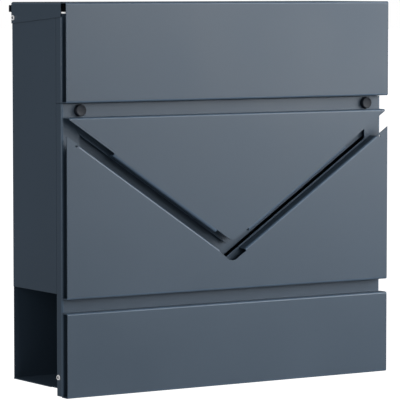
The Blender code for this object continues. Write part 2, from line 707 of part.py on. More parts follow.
# ---------------------------------------------------------------- build

def build_case():
    case_shell()
    compartment_floor()
    bottom_plate()
    front_header()
    slot_edge_trim()
    wall_strips()
    hinge_rivets()


def build_lid():
    lid_shell()
    lid_rear_bumpers()


def build_door():
    door_plate()
    envelope_flap_panel()
    envelope_front_panel()
    lower_front_panel()
    rain_guard()
    lid_buffers()
    door_striker()


def build_lock():
    lock_housing()
    lock_nut()
    lock_plug()
    lock_cam()
    lock_cam_screw()


clear_scene()
parts = new_collection("wall_mailbox")
cutters = new_collection("cutters")
frame = bpy.data.objects.new("mailbox_frame", None)
frame.location = (0.0, 0.0, -STRIP_HEIGHT)
parts.objects.link(frame)

steel = paint("powder_coated_steel", (0.105, 0.13, 0.155), 0.5, 0.0)
rubber = paint("black_rubber", (0.02, 0.02, 0.022), 0.7, 0.0)
zinc = paint("zinc_plated_steel", (0.62, 0.62, 0.6), 0.35, 1.0)
chrome = paint("chromed_zinc", (0.7, 0.7, 0.7), 0.15, 1.0)
pale_plastic = paint("pale_plastic_trim", (0.8, 0.8, 0.8), 0.45, 0.0)

build_case()
build_lid()
build_door()
build_lock()
bpy.context.view_layer.update()
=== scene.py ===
from math import atan, cos, hypot, pi, radians, sin

import bmesh
import bpy
from bpy.props import FloatProperty, FloatVectorProperty, PointerProperty
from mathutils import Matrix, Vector


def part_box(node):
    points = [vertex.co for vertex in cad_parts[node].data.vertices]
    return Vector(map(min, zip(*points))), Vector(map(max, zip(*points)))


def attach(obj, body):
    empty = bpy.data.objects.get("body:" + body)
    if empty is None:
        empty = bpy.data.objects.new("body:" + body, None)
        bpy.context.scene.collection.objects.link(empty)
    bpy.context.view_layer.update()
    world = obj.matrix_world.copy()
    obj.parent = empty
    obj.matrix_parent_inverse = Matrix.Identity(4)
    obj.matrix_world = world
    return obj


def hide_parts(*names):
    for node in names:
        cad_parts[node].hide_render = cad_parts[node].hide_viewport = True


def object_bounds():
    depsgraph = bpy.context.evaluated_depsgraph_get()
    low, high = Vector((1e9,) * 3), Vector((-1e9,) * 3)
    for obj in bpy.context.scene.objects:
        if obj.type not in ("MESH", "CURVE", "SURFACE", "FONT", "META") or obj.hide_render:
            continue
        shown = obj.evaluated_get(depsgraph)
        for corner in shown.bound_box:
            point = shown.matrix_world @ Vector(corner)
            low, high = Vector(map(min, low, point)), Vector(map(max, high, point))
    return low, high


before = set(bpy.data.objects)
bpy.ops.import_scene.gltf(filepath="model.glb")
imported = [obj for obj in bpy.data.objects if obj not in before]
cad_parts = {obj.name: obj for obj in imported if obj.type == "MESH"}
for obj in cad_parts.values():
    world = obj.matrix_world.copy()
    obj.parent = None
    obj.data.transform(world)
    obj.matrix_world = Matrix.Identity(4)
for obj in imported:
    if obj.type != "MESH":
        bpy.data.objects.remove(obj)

bl_info = {
    "name": "Wall Mailbox Looks",
    "version": (1, 0, 0),
    "blender": (4, 5, 0),
    "location": "View3D > Sidebar > Mailbox",
    "description": "Folded sheet panels, rivets, rubber parts and coatings of a wall mounted mailbox",
    "category": "Object",
}

MM = 0.001
START_BOX = [list(corner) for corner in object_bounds()]
X_AXIS = Vector((1.0, 0.0, 0.0))
Y_AXIS = Vector((0.0, 1.0, 0.0))
Z_AXIS = Vector((0.0, 0.0, 1.0))
FRONT = -Y_AXIS

STEEL_SLOT = "anthracite_powder_coat"
RUBBER_SLOT = "black_rubber"
ZINC_SLOT = "zinc_plated_steel"

# Each light: place from the box's middle, width and height, all in metres
KEY_LIGHT = ((1.10, -0.95, 0.45), 1.2, 1.0)
FILL_LIGHT = ((-1.9, -0.25, 0.5), 0.3, 1.2)
FRONT_LIGHT = ((0.1, -2.2, 0.5), 1.0, 0.8)
CAMERA_PLACE = (-1.5393, -2.4429, 0.0555)
FLOOR_REACH = 400.0

WELD = 0.002 * MM               # points closer than this are one
ON_LINE = 0.01 * MM             # an edge this near a line lies on it
BUMPER_ROUNDING = 0.9 * MM
STRIP_ROUNDING = 1.4 * MM

# Rivets, with radii as shares of the head's radius
RIVET_TAIL = 1.4 * MM           # thickness of the tail and of the head
RIVET_CHAMFER = 0.2 * MM
RIVET_BORE_DEPTH = 3.2 * MM
RIVET_PIN_SHARE = 0.57
RIVET_PAINTED_SHADE_SHARE = 0.53         # faces within this are painted black as the shade in the bore

RUBBER_FOOT_GAP = 0.2 * MM      # buffer's foot to the door plate


# ---------------------------------------------------------------- sizes and colours

class MailboxSheetSizes(bpy.types.PropertyGroup):
    """Sizes of the folded sheet panels that the frame's boxes don't give"""
    sheet: FloatProperty(name="Sheet", description="Steel sheet thickness", default=1.0 * MM,
                         unit="LENGTH")
    lid_sheet: FloatProperty(name="Lid sheet", description="Thickness of the lid's sheet",
                             default=0.9 * MM, unit="LENGTH")
    bend: FloatProperty(name="Bend radius", description="Outside radius of a fold",
                        default=1.9 * MM, unit="LENGTH")
    edge: FloatProperty(name="Edge rounding", description="Coat build-up on cut edges",
                        default=0.22 * MM, unit="LENGTH")
    slope: FloatProperty(name="V slope", description="Rise of the envelope lines for each unit sideways",
                         default=0.67)
    triangle_cutback: FloatProperty(name="Triangle cutback", description="Unfolded ends of the triangle",
                                    default=3.4 * MM, unit="LENGTH")
    triangle_fold_near: FloatProperty(name="Triangle fold start", description="Inner end of its folds",
                                      default=18.5 * MM, unit="LENGTH")
    triangle_fold_far: FloatProperty(name="Triangle fold end", description="Outer end of its folds",
                                     default=133.6 * MM, unit="LENGTH")
    triangle_fold_depth: FloatProperty(name="Triangle fold depth", description="How far they reach back",
                                       default=6.5 * MM, unit="LENGTH")
    pocket_cutback: FloatProperty(name="Pocket cutback", description="Unfolded point of the pocket's V",
                                  default=2.8 * MM, unit="LENGTH")
    pocket_fold_near: FloatProperty(name="Pocket fold start", description="Inner end of its folds",
                                    default=15.5 * MM, unit="LENGTH")
    pocket_fold_far: FloatProperty(name="Pocket fold end", description="Outer end of its folds",
                                   default=172.5 * MM, unit="LENGTH")
    point_radius: FloatProperty(name="Point radius", description="Rounding where the V's arms meet",
                                default=9.0 * MM, unit="LENGTH")
    relief_hole: FloatProperty(name="Relief hole", description="Hole at the end of a fold",
                               default=2.4 * MM, unit="LENGTH")
    window_end: FloatProperty(name="Window end", description="Half the window's width",
                              default=164.7 * MM, unit="LENGTH")
    window_height: FloatProperty(name="Window height", description="Upright height of the slanted window",
                                 default=12.9 * MM, unit="LENGTH")
    return_depth: FloatProperty(name="Return", description="Depth of the door's folded sides",
                                default=10.0 * MM, unit="LENGTH")
    window_above_pocket: FloatProperty(name="Window sill", description="Above the pocket's V lines",
                                       default=1.6 * MM, unit="LENGTH")
    lid_rear_bend: FloatProperty(name="Lid rear bend", description="Outside radius above the lip",
                                 default=3.2 * MM, unit="LENGTH")
    lid_lip: FloatProperty(name="Lid lip", description="Height of the lid's rear lip",
                           default=12.4 * MM, unit="LENGTH")
    lid_hem_gap: FloatProperty(name="Lid hem gap", description="Flap's lower fold to the door plate",
                               default=0.4 * MM, unit="LENGTH")
    cheek_ahead: FloatProperty(name="Cheek edge", description="Cheek's front edge ahead of the door",
                               default=0.8 * MM, unit="LENGTH")
    cheek_front: FloatProperty(name="Cheek height", description="Height of a cheek at its front",
                               default=13.6 * MM, unit="LENGTH")
    cheek_taper: FloatProperty(name="Cheek taper", description="How much lower a cheek ends at the rear",
                               default=7.0 * MM, unit="LENGTH")
    lock_hole: FloatProperty(name="Lock hole", description="Radius of the hole in the header",
                             default=9.3 * MM, unit="LENGTH")
    screw_hole: FloatProperty(name="Screw hole", description="Wall screw holes in the back",
                              default=6.5 * MM, unit="LENGTH")
    screw_x: FloatProperty(name="Screw spacing", description="Half the distance between wall screws",
                           default=120.0 * MM, unit="LENGTH")
    screw_drop: FloatProperty(name="Screw drop", description="Wall screws below the strip's middle",
                              default=14.0 * MM, unit="LENGTH")


class MailboxColours(bpy.types.PropertyGroup):
    """Colours of the coatings"""
    coat: FloatVectorProperty(name="Powder coat", description="Anthracite powder coat",
                              subtype="COLOR", default=(0.040, 0.066, 0.099), min=0, max=1)
    coat_roughness: FloatProperty(name="Coat roughness", description="Satin finish", default=0.46)
    rubber: FloatVectorProperty(name="Rubber", description="Black rubber", subtype="COLOR",
                                default=(0.009, 0.013, 0.021), min=0, max=1)
    zinc: FloatVectorProperty(name="Zinc", description="Bright zinc plate", subtype="COLOR",
                              default=(0.50, 0.51, 0.51), min=0, max=1)
    trim: FloatVectorProperty(name="Edge trim", description="Pale edge trim", subtype="COLOR",
                              default=(0.93, 0.94, 0.94), min=0, max=1)


class MailboxStudio(bpy.types.PropertyGroup):
    """Light, floor and camera"""
    key_power: FloatProperty(name="Key light", description="Soft light from the front right",
                             default=22.0, unit="POWER")
    fill_power: FloatProperty(name="Fill light", description="Weak light from the left",
                              default=10.5, unit="POWER")
    front_power: FloatProperty(name="Front light", description="Soft light from straight ahead",
                               default=14.5, unit="POWER")
    sky: FloatProperty(name="Surroundings", description="Light from all around", default=0.19)
    floor_drop: FloatProperty(name="Floor", description="Floor below the box", default=1.1,
                              unit="LENGTH")
    lens: FloatProperty(name="Lens", description="Focal length", default=260.6, unit="CAMERA")
    turn: FloatProperty(name="Turn", description="How far the camera stands to the left",
                        default=radians(32.856), subtype="ANGLE")
    tilt: FloatProperty(name="Tilt", description="How far the camera looks down",
                        default=radians(4.2257), subtype="ANGLE")


def sizes():
    return bpy.context.scene.mailbox_sizes


def colours():
    return bpy.context.scene.mailbox_colours


def studio():
    return bpy.context.scene.mailbox_studio


# ---------------------------------------------------------------- places from the frame

def low(node):
    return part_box(node)[0]


def high(node):
    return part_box(node)[1]


def door_y():
    """Front face of the door plate."""
    return low("door_plate").y


def proud_y():
    """Front face of the proud panels."""
    return low("lid_shell").y


def slope_angle():
    return atan(sizes().slope)


# ---------------------------------------------------------------- mesh helpers

def fill_loops(bm, loops):
    """One flat face, with holes, from closed loops of points; returns each loop's edges."""
    all_edges = []
    made = []
    for loop in loops:
        verts = [bm.verts.new(point) for point in loop]
        edges = [bm.edges.new((a, b)) for a, b in zip(verts, verts[1:] + verts[:1])]
        made.append(edges)
        all_edges += edges
    bmesh.ops.triangle_fill(bm, use_beauty=True, use_dissolve=False, edges=all_edges)
    return made


def edge_between(edges, a, b):
    """The edges that lie on the straight line from a to b."""
    a = Vector(a)
    b = Vector(b)
    line = (b - a).normalized()
    found = []
    for edge in edges:
        away = [(vert.co - a) - line * (vert.co - a).dot(line) for vert in edge.verts]
        reach = [(vert.co - a).dot(line) for vert in edge.verts]
        near = all(offset.length < ON_LINE for offset in away)
        if near and all(-ON_LINE < along < (b - a).length + ON_LINE for along in reach):
            found.append(edge)
    return found


def fold(bm, edges, normal, out, radius, depth, steps=6):
    """Fold a sheet back along edges. normal is the sheet's outer side, out points past the edge."""
    point = edges[0].verts[0].co.copy()
    geometry = list(edges) + list({vert for edge in edges for vert in edge.verts})
    spun = bmesh.ops.spin(bm, geom=geometry, cent=point - normal * radius, axis=normal.cross(out),
                          angle=pi / 2, steps=steps, use_merge=False)
    last = [item for item in spun["geom_last"] if isinstance(item, bmesh.types.BMEdge)]
    straight = depth - radius
    if straight <= 0:
        return last
    grown = bmesh.ops.extrude_edge_only(bm, edges=last)["geom"]
    verts = [item for item in grown if isinstance(item, bmesh.types.BMVert)]
    bmesh.ops.translate(bm, vec=-normal * straight, verts=verts)
    ends = set(verts)
    return [item for item in grown if isinstance(item, bmesh.types.BMEdge)
            and all(vert in ends for vert in item.verts)]


def face_towards(bm, normal):
    """Make every face agree, with the largest flat one looking along normal."""
    bmesh.ops.remove_doubles(bm, verts=bm.verts, dist=WELD)
    bmesh.ops.recalc_face_normals(bm, faces=bm.faces)
    looking = sum(face.calc_area() * face.normal.dot(normal) for face in bm.faces)
    if looking < 0:
        bmesh.ops.reverse_faces(bm, faces=bm.faces)
    mark_bend_sheen(bm)


def mark_bend_sheen(bm):
    """Mark the narrow faces of each bend, where the coat gets a painted highlight."""
    bend_sheen = bm.faces.layers.float.new("bend_sheen")
    for face in bm.faces:
        longest = max(edge.calc_length() for edge in face.edges)
        turning = any(edge.calc_face_angle(0.0) > radians(5) for edge in face.edges)
        narrow = face.calc_area() / longest < 0.9 * MM
        face[bend_sheen] = 1.0 if narrow and turning else 0.0


def publish(bm, name, material, body, slot, *nodes):
    """Turn the bmesh into a named piece that rides on a body and stands for CAD nodes."""
    mesh = bpy.data.meshes.new(name)
    bm.to_mesh(mesh)
    bm.free()
    mesh.shade_smooth()
    mesh.set_sharp_from_angle(angle=radians(35))
    mesh.materials.append(material)
    piece = bpy.data.objects.new(name, mesh)
    bpy.context.scene.collection.objects.link(piece)
    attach(piece, body)
    if nodes:
        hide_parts(*nodes)
    return piece


def as_sheet(piece, thickness):
    """Give an open surface its thickness, behind its outer face, with coated edges."""
    wall = piece.modifiers.new("thickness", "SOLIDIFY")
    wall.thickness = thickness
    wall.offset = -1.0
    wall.use_even_offset = True
    soften(piece)
    return piece


def soften(piece):
    bevel = piece.modifiers.new("coated_edges", "BEVEL")
    bevel.width = sizes().edge
    bevel.segments = 2
    bevel.limit_method = "ANGLE"
    bevel.angle_limit = radians(50)
    bevel.profile = 0.5
    shading = piece.modifiers.new("flat_faces", "WEIGHTED_NORMAL")
    shading.keep_sharp = True


def turned(bm, profile, centre, axis, segments=40):
    """A turned shape: profile is (distance along axis, radius) from one end to the other."""
    side = axis.orthogonal().normalized()
    verts = [bm.verts.new(centre + axis * along + side * radius) for along, radius in profile]
    edges = [bm.edges.new(pair) for pair in zip(verts, verts[1:])]
    bmesh.ops.spin(bm, geom=verts + edges, cent=centre, axis=axis, angle=2 * pi, steps=segments,
                   use_merge=True)
    bmesh.ops.remove_doubles(bm, verts=bm.verts, dist=WELD)
    bmesh.ops.recalc_face_normals(bm, faces=bm.faces)


def circle_loop(centre, radius, normal, count=20):
    side = normal.orthogonal().normalized()
    other = normal.cross(side)
    swings = [2 * pi * step / count for step in range(count)]
    return [centre + side * radius * cos(swing) + other * radius * sin(swing) for swing in swings]


def soft_block(bm, lowest, highest, rounding, segments=4):
    made = bmesh.ops.create_cube(bm, size=1.0)["verts"]
    bmesh.ops.scale(bm, vec=highest - lowest, verts=made)
    bmesh.ops.translate(bm, vec=(highest + lowest) / 2, verts=made)
    edges = {edge for vert in made for edge in vert.link_edges}
    bmesh.ops.bevel(bm, geom=list(edges), offset=rounding, offset_type="OFFSET", affect="EDGES",
                    segments=segments, profile=0.5, material=-1)


# ---------------------------------------------------------------- coatings

def grain_group():
    """Coated surface: fine orange peel, faint colour drift, and a painted highlight on bends, lighter and
    smoother there.
    """
    name = "powder_grain"
    if name in bpy.data.node_groups:
        return bpy.data.node_groups[name]
    group = bpy.data.node_groups.new(name, "ShaderNodeTree")
    face = group.interface
    face.new_socket("Colour", in_out="INPUT", socket_type="NodeSocketColor")
    for label, value in (("Peel Scale", 900.0), ("Drift", 0.08), ("Roughness", 0.45),
                         ("Peel Depth", 0.2), ("Rub", 0.0)):
        socket = face.new_socket(label, in_out="INPUT", socket_type="NodeSocketFloat")
        socket.default_value = value
    face.new_socket("Colour", in_out="OUTPUT", socket_type="NodeSocketColor")
    face.new_socket("Roughness", in_out="OUTPUT", socket_type="NodeSocketFloat")
    face.new_socket("Height", in_out="OUTPUT", socket_type="NodeSocketFloat")
    nodes = group.nodes
    links = group.links
    given = nodes.new("NodeGroupInput")
    result = nodes.new("NodeGroupOutput")
    place = nodes.new("ShaderNodeTexCoord")
    peel = nodes.new("ShaderNodeTexNoise")
    peel.inputs["Detail"].default_value = 3.0
    peel.inputs["Roughness"].default_value = 0.55
    waves = nodes.new("ShaderNodeTexNoise")
    waves.inputs["Scale"].default_value = 9.0
    waves.inputs["Detail"].default_value = 4.0
    links.new(place.outputs["Object"], peel.inputs["Vector"])
    links.new(place.outputs["Object"], waves.inputs["Vector"])
    links.new(given.outputs["Peel Scale"], peel.inputs["Scale"])
    drift = remap(nodes, links, waves.outputs["Fac"], 0.3, 0.7)
    around = math_node(nodes, links, "SUBTRACT", drift, 0.5)
    amount = math_node(nodes, links, "MULTIPLY", around, given.outputs["Drift"])
    gain = math_node(nodes, links, "ADD", amount, 1.0)
    speck = math_node(nodes, links, "SUBTRACT", peel.outputs["Fac"], 0.5)
    speckle = math_node(nodes, links, "MULTIPLY", speck, 0.16)
    # painted highlight: the marked bend faces get a lighter colour and a smoother coat, in noise patches
    sheen_patches = math_node(nodes, links, "MULTIPLY", given.outputs["Rub"],
                       remap(nodes, links, waves.outputs["Fac"], 0.25, 0.6, 0.55, 1.0))
    painted_sheen_gain = math_node(nodes, links, "MULTIPLY", sheen_patches, 0.55)
    total = math_node(nodes, links, "ADD", math_node(nodes, links, "ADD", gain, speckle), painted_sheen_gain)
    tint = nodes.new("ShaderNodeVectorMath")
    tint.operation = "SCALE"
    links.new(given.outputs["Colour"], tint.inputs[0])
    links.new(total, tint.inputs["Scale"])
    links.new(tint.outputs["Vector"], result.inputs["Colour"])
    rough_drift = math_node(nodes, links, "MULTIPLY", around, 0.10)
    rough = math_node(nodes, links, "ADD", given.outputs["Roughness"], rough_drift)
    rough_speck = math_node(nodes, links, "MULTIPLY", speck, 0.12)
    rough = math_node(nodes, links, "ADD", rough, rough_speck)
    smoother = math_node(nodes, links, "MULTIPLY", sheen_patches, 0.16)
    links.new(math_node(nodes, links, "SUBTRACT", rough, smoother), result.inputs["Roughness"])
    links.new(math_node(nodes, links, "MULTIPLY", peel.outputs["Fac"], given.outputs["Peel Depth"]),
              result.inputs["Height"])
    return group


def math_node(nodes, links, operation, first, second):
    node = nodes.new("ShaderNodeMath")
    node.operation = operation
    for socket, value in zip(node.inputs, (first, second)):
        if isinstance(value, (int, float)):
            socket.default_value = value
        else:
            links.new(value, socket)
    return node.outputs[0]


def remap(nodes, links, value, lowest, highest, to_low=0.0, to_high=1.0):
    node = nodes.new("ShaderNodeMapRange")
    node.inputs["From Min"].default_value = lowest
    node.inputs["From Max"].default_value = highest
    node.inputs["To Min"].default_value = to_low
    node.inputs["To Max"].default_value = to_high
    links.new(value, node.inputs["Value"])
    return node.outputs["Result"]


def coated(name, colour, roughness, metallic=0.0, peel_scale=900.0, peel_depth=0.2, drift=0.08,
           bump=0.25, specular=0.5):
    """A material whose colour, roughness and relief come from the shared grain group."""
    if name in bpy.data.materials:
        return bpy.data.materials[name]
    material = bpy.data.materials.new(name)
    material.use_nodes = True
    nodes = material.node_tree.nodes
    links = material.node_tree.links
    shader = nodes["Principled BSDF"]
    shader.inputs["Metallic"].default_value = metallic
    shader.inputs["Specular IOR Level"].default_value = specular
    grain = nodes.new("ShaderNodeGroup")
    grain.node_tree = grain_group()
    grain.inputs["Colour"].default_value = (*colour, 1.0)
    grain.inputs["Peel Scale"].default_value = peel_scale
    grain.inputs["Drift"].default_value = drift
    grain.inputs["Roughness"].default_value = roughness
    grain.inputs["Peel Depth"].default_value = peel_depth
    # painted highlight: reads the mask of bend faces
    painted_highlight = nodes.new("ShaderNodeAttribute")
    painted_highlight.attribute_name = "bend_sheen"
    links.new(painted_highlight.outputs["Fac"], grain.inputs["Rub"])
    relief = nodes.new("ShaderNodeBump")
    relief.inputs["Strength"].default_value = bump
    relief.inputs["Distance"].default_value = 0.1 * MM
    links.new(grain.outputs["Colour"], shader.inputs["Base Color"])
    links.new(grain.outputs["Roughness"], shader.inputs["Roughness"])
    links.new(grain.outputs["Height"], relief.inputs["Height"])
    links.new(relief.outputs["Normal"], shader.inputs["Normal"])
    return material


def powder_coat():
    return coated("anthracite_coat", colours().coat, colours().coat_roughness)


def edge_highlight_coat():
    """Cut edges, with a painted highlight: the coat colour made brighter there, and smoother."""
    painted_highlight = [min(1.0, 3.2 * channel) for channel in colours().coat]
    return coated("anthracite_painted_edge_highlight", painted_highlight, 0.30, drift=0.3, bump=0.2)


def rubber():
    return coated("black_rubber_moulding", colours().rubber, 0.55, peel_scale=1400.0, drift=0.2,
                  bump=0.4, specular=0.28)


def zinc():
    return coated("bright_zinc", colours().zinc, 0.44, metallic=1.0, peel_scale=700.0, drift=0.15,
                  bump=0.15)


def painted_glow(material, strength):
    """Painted light: a little white glow of its own, so that a very small pale piece isn't lost."""
    shader = material.node_tree.nodes["Principled BSDF"]
    shader.inputs["Emission Color"].default_value = (1.0, 1.0, 1.0, 1.0)
    shader.inputs["Emission Strength"].default_value = strength
    return material


def rivet_painted_glow():
    # painted glow: the pale rivet gives off a little light of its own
    return painted_glow(coated("tumbled_rivet_painted_glow", (0.97, 0.98, 0.99), 0.32, peel_scale=1100.0, drift=0.08,
                       bump=0.2), 0.12)


def chrome():
    return coated("lock_chrome", colours().zinc, 0.12, metallic=1.0, drift=0.05, bump=0.05)


def pale_trim_painted_glow():
    # painted glow: the pale trim gives off light of its own, standing in for the light it catches
    return painted_glow(coated("pale_trim_painted_glow", colours().trim, 0.42, drift=0.05, bump=0.1), 0.35)


# ---------------------------------------------------------------- folded sheet panels

def arm_directions(side, outward):
    """The out direction of one arm of a V; outward is 1 for the upper side and -1 below."""
    turn = slope_angle()
    return Vector((-side * sin(turn), 0.0, cos(turn))) * outward


def v_points(point, reach, side):
    """Two (x, z) points on one arm of a V whose arms meet at height point."""
    slope = sizes().slope
    return [(side * x, point + slope * x) for x in reach]


def rounded_point(point, steps=8):
    """The rounded bottom of a V from left to right."""
    turn = slope_angle()
    radius = sizes().point_radius
    middle = point + radius / cos(turn)
    swings = [turn * (2 * step / steps - 1) for step in range(steps + 1)]
    return [(radius * sin(swing), middle - radius * cos(swing)) for swing in swings]


def at_y(y, points):
    return [Vector((x, y, z)) for x, z in points]


def mirrored(points):
    return [(-x, z) for x, z in reversed(points)]


def fold_arm(bm, edges, point, near, far, side, outward, depth):
    y = proud_y()
    ends = at_y(y, v_points(point, (near, far), side))
    found = edge_between(edges, ends[0], ends[1])
    fold(bm, found, FRONT, arm_directions(side, outward), sizes().bend, depth)


def build_triangle():
    """The envelope's flap: folded along the top and along the middle of both arms."""
    s = sizes()
    y = proud_y()
    top = high("envelope_flap_panel").z
    radius = s.bend
    turn = slope_angle()
    half = high("envelope_flap_panel").x
    flat = top - s.slope * half
    folded = flat - s.triangle_cutback + radius / cos(turn)
    near = s.triangle_fold_near
    far = s.triangle_fold_far
    shoulder = top - radius
    reach = (shoulder - flat) / s.slope
    left = [(-reach, shoulder), *v_points(flat, (far,), -1), *v_points(folded, (far, near), -1),
            *v_points(flat, (near,), -1)]
    outline = left + rounded_point(flat) + mirrored(left)
    bm = bmesh.new()
    edges = fill_loops(bm, [at_y(y, outline)])[0]
    top_edge = edge_between(edges, (-reach, y, shoulder), (reach, y, shoulder))
    for side in (-1, 1):
        fold_arm(bm, edges, folded, near, far, side, -1, s.triangle_fold_depth)
    depth = high("envelope_flap_panel").y - y
    fold(bm, top_edge, FRONT, Z_AXIS, radius, depth)
    face_towards(bm, FRONT)
    piece = publish(bm, "envelope_flap", powder_coat(), "door", STEEL_SLOT, "envelope_flap_panel")
    return as_sheet(piece, s.sheet)


def build_pocket():
    """The envelope's pocket: a V along the top folded back to the door, and a folded bottom."""
    s = sizes()
    y = proud_y()
    box_low, box_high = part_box("envelope_front_panel")
    half = box_high.x
    radius = s.bend
    turn = slope_angle()
    point = box_high.z - s.slope * half
    folded = point - radius / cos(turn)
    flat = point - s.pocket_cutback
    near = s.pocket_fold_near
    far = s.pocket_fold_far
    bottom = box_low.z + radius
    left = [(-half, bottom), (-half, box_high.z), *v_points(point, (far,), -1),
            *v_points(folded, (far, near), -1), *v_points(flat, (near,), -1)]
    outline = left + rounded_point(flat) + mirrored(left)
    holes = []
    for side in (-1, 1):
        x = side * (far + s.relief_hole)
        z = point + s.slope * abs(x) - s.relief_hole
        holes.append(circle_loop(Vector((x, y, z)), s.relief_hole / 2, Y_AXIS, 14))
    bm = bmesh.new()
    edges = fill_loops(bm, [at_y(y, outline), *holes])[0]
    bottom_edge = edge_between(edges, (-half, y, bottom), (half, y, bottom))
    depth = box_high.y - y
    for side in (-1, 1):
        fold_arm(bm, edges, folded, near, far, side, 1, depth)
    fold(bm, bottom_edge, FRONT, -Z_AXIS, radius, depth)
    face_towards(bm, FRONT)
    piece = publish(bm, "envelope_pocket", powder_coat(), "door", STEEL_SLOT, "envelope_front_panel")
    return as_sheet(piece, s.sheet)


def build_lower_panel():
    s = sizes()
    lowest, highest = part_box("lower_front_panel")
    radius = s.bend
    half = highest.x
    y = lowest.y
    bottom = lowest.z + radius
    top = highest.z - radius
    bm = bmesh.new()
    edges = fill_loops(bm, [at_y(y, [(-half, bottom), (-half, top), (half, top), (half, bottom)])])[0]
    depth = highest.y - lowest.y
    fold(bm, edge_between(edges, (-half, y, top), (half, y, top)), FRONT, Z_AXIS, radius, depth)
    fold(bm, edge_between(edges, (-half, y, bottom), (half, y, bottom)), FRONT, -Z_AXIS, radius,
         depth)
    face_towards(bm, FRONT)
    piece = publish(bm, "lower_panel", powder_coat(), "door", STEEL_SLOT, "lower_front_panel")
    return as_sheet(piece, s.sheet)


def plate_with_returns(name, node, holes, body):
    """A flat plate whose two sides are folded back, with loops cut out of it."""
    s = sizes()
    lowest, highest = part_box(node)
    radius = s.bend
    y = lowest.y
    half = highest.x - radius
    corners = [(-half, lowest.z), (-half, highest.z), (half, highest.z), (half, lowest.z)]
    bm = bmesh.new()
    edges = fill_loops(bm, [at_y(y, corners), *holes])[0]
    for side in (-1, 1):
        x = side * half
        found = edge_between(edges, (x, y, lowest.z), (x, y, highest.z))
        fold(bm, found, FRONT, X_AXIS * side, radius, s.return_depth)
    face_towards(bm, FRONT)
    piece = publish(bm, name, powder_coat(), body, STEEL_SLOT, node)
    return as_sheet(piece, s.sheet)


def window_loop():
    s = sizes()
    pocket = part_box("envelope_front_panel")[1]
    sill = pocket.z - s.slope * pocket.x + s.window_above_pocket
    head = sill + s.window_height
    end = s.window_end
    rise = s.slope * end
    return [(-end, head + rise), (-end, sill + rise), (0.0, sill), (end, sill + rise),
            (end, head + rise), (0.0, head)]


def build_door_plate():
    y = door_y()
    piece = plate_with_returns("door_panel", "door_plate", [at_y(y, window_loop())], "door")
    # painted highlight: the plate's rim faces, its cut edges and window edges, get the brightened coat
    piece.data.materials.append(edge_highlight_coat())
    piece.modifiers["thickness"].material_offset_rim = 1
    return piece


def build_header():
    y = low("front_header").y
    lock_low, lock_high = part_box("lock_plug")
    lock_z = (lock_low.z + lock_high.z) / 2
    hole = circle_loop(Vector((0.0, y, lock_z)), sizes().lock_hole, Y_AXIS, 32)
    return plate_with_returns("slot_header", "front_header", [hole], "case")


def build_case():
    """Back and sides in one folded sheet, with four screw holes."""
    s = sizes()
    lowest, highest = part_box("case_shell")
    radius = s.bend
    y = highest.y
    bay_top = low("compartment_floor").z
    wide = highest.x - s.sheet
    narrow = highest.x - radius
    outline = [(-wide, lowest.z), (-wide, bay_top), (-narrow, bay_top), (-narrow, highest.z),
               (narrow, highest.z), (narrow, bay_top), (wide, bay_top), (wide, lowest.z)]
    holes = []
    for strip in ("wall_strip_upper", "wall_strip_lower"):
        strip_low, strip_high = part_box(strip)
        z = (strip_low.z + strip_high.z) / 2 - s.screw_drop
        for side in (-1, 1):
            centre = Vector((side * s.screw_x, y, z))
            holes.append(circle_loop(centre, s.screw_hole / 2, Y_AXIS, 28))
    bm = bmesh.new()
    edges = fill_loops(bm, [at_y(y, outline), *holes])[0]
    for side in (-1, 1):
        x = side * narrow
        found = edge_between(edges, (x, y, bay_top), (x, y, highest.z))
        fold(bm, found, Y_AXIS, X_AXIS * side, radius, highest.y - lowest.y)
    face_towards(bm, Y_AXIS)
    piece = publish(bm, "case_wrap", powder_coat(), "case", STEEL_SLOT, "case_shell")
    return as_sheet(piece, s.sheet)


def build_lid():
    """Top, front flap with its lower fold, rear lip and two cheeks, all one folded sheet."""
    s = sizes()
    lowest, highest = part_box("lid_shell")
    radius = s.bend
    z = highest.z
    half = highest.x
    narrow = half - radius
    rear = highest.y - s.lid_rear_bend
    front = lowest.y + radius
    cheek_front = door_y() - s.cheek_ahead
    outline = [(-half, front), (-half, cheek_front), (-narrow, cheek_front), (-narrow, rear),
               (narrow, rear), (narrow, cheek_front), (half, cheek_front), (half, front)]
    bm = bmesh.new()
    edges = fill_loops(bm, [[Vector((x, y, z)) for x, y in outline]])[0]
    front_edge = edge_between(edges, (-half, front, z), (half, front, z))
    rear_edge = edge_between(edges, (-narrow, rear, z), (narrow, rear, z))
    flap = fold(bm, front_edge, Z_AXIS, FRONT, radius, (highest.z - lowest.z) - radius)
    fold(bm, flap, FRONT, -Z_AXIS, radius, door_y() - s.lid_hem_gap - lowest.y)
    fold(bm, rear_edge, Z_AXIS, Y_AXIS, s.lid_rear_bend, s.lid_lip)
    for side in (-1, 1):
        x = side * narrow
        found = edge_between(edges, (x, cheek_front, z), (x, rear, z))
        hem = fold(bm, found, Z_AXIS, X_AXIS * side, radius, s.cheek_front)
        for vert in {vert for edge in hem for vert in edge.verts}:
            share = (vert.co.y - cheek_front) / (rear - cheek_front)
            vert.co.z -= share * s.cheek_taper
    face_towards(bm, Z_AXIS)
    piece = publish(bm, "lid_cover", powder_coat(), "lid", STEEL_SLOT, "lid_shell")
    return as_sheet(piece, s.lid_sheet)


# ---------------------------------------------------------------- small parts

def side_name(side):
    return "left" if side < 0 else "right"


def rivet_profile(out, radius):
    """Half outline of a rivet from its tail, at -out, to its drilled head, at out."""
    pin = radius * RIVET_PIN_SHARE
    tail = -out + RIVET_TAIL
    head = out - RIVET_TAIL
    bore = out - RIVET_BORE_DEPTH
    return [(-out, 0.0), (-out, radius * 0.78), (tail - RIVET_CHAMFER, radius * 0.86), (tail, pin),
            (head, pin), (head, radius * 0.86), (head + 0.25 * MM, radius * 0.92),
            (head + 0.8 * MM, radius * 0.92), (out - RIVET_CHAMFER, radius * 0.86),
            (out, radius * 0.76), (out - 0.08 * MM, radius * 0.62), (out - 0.3 * MM, radius * 0.52),
            (bore, radius * 0.48), (bore, 0.0)]


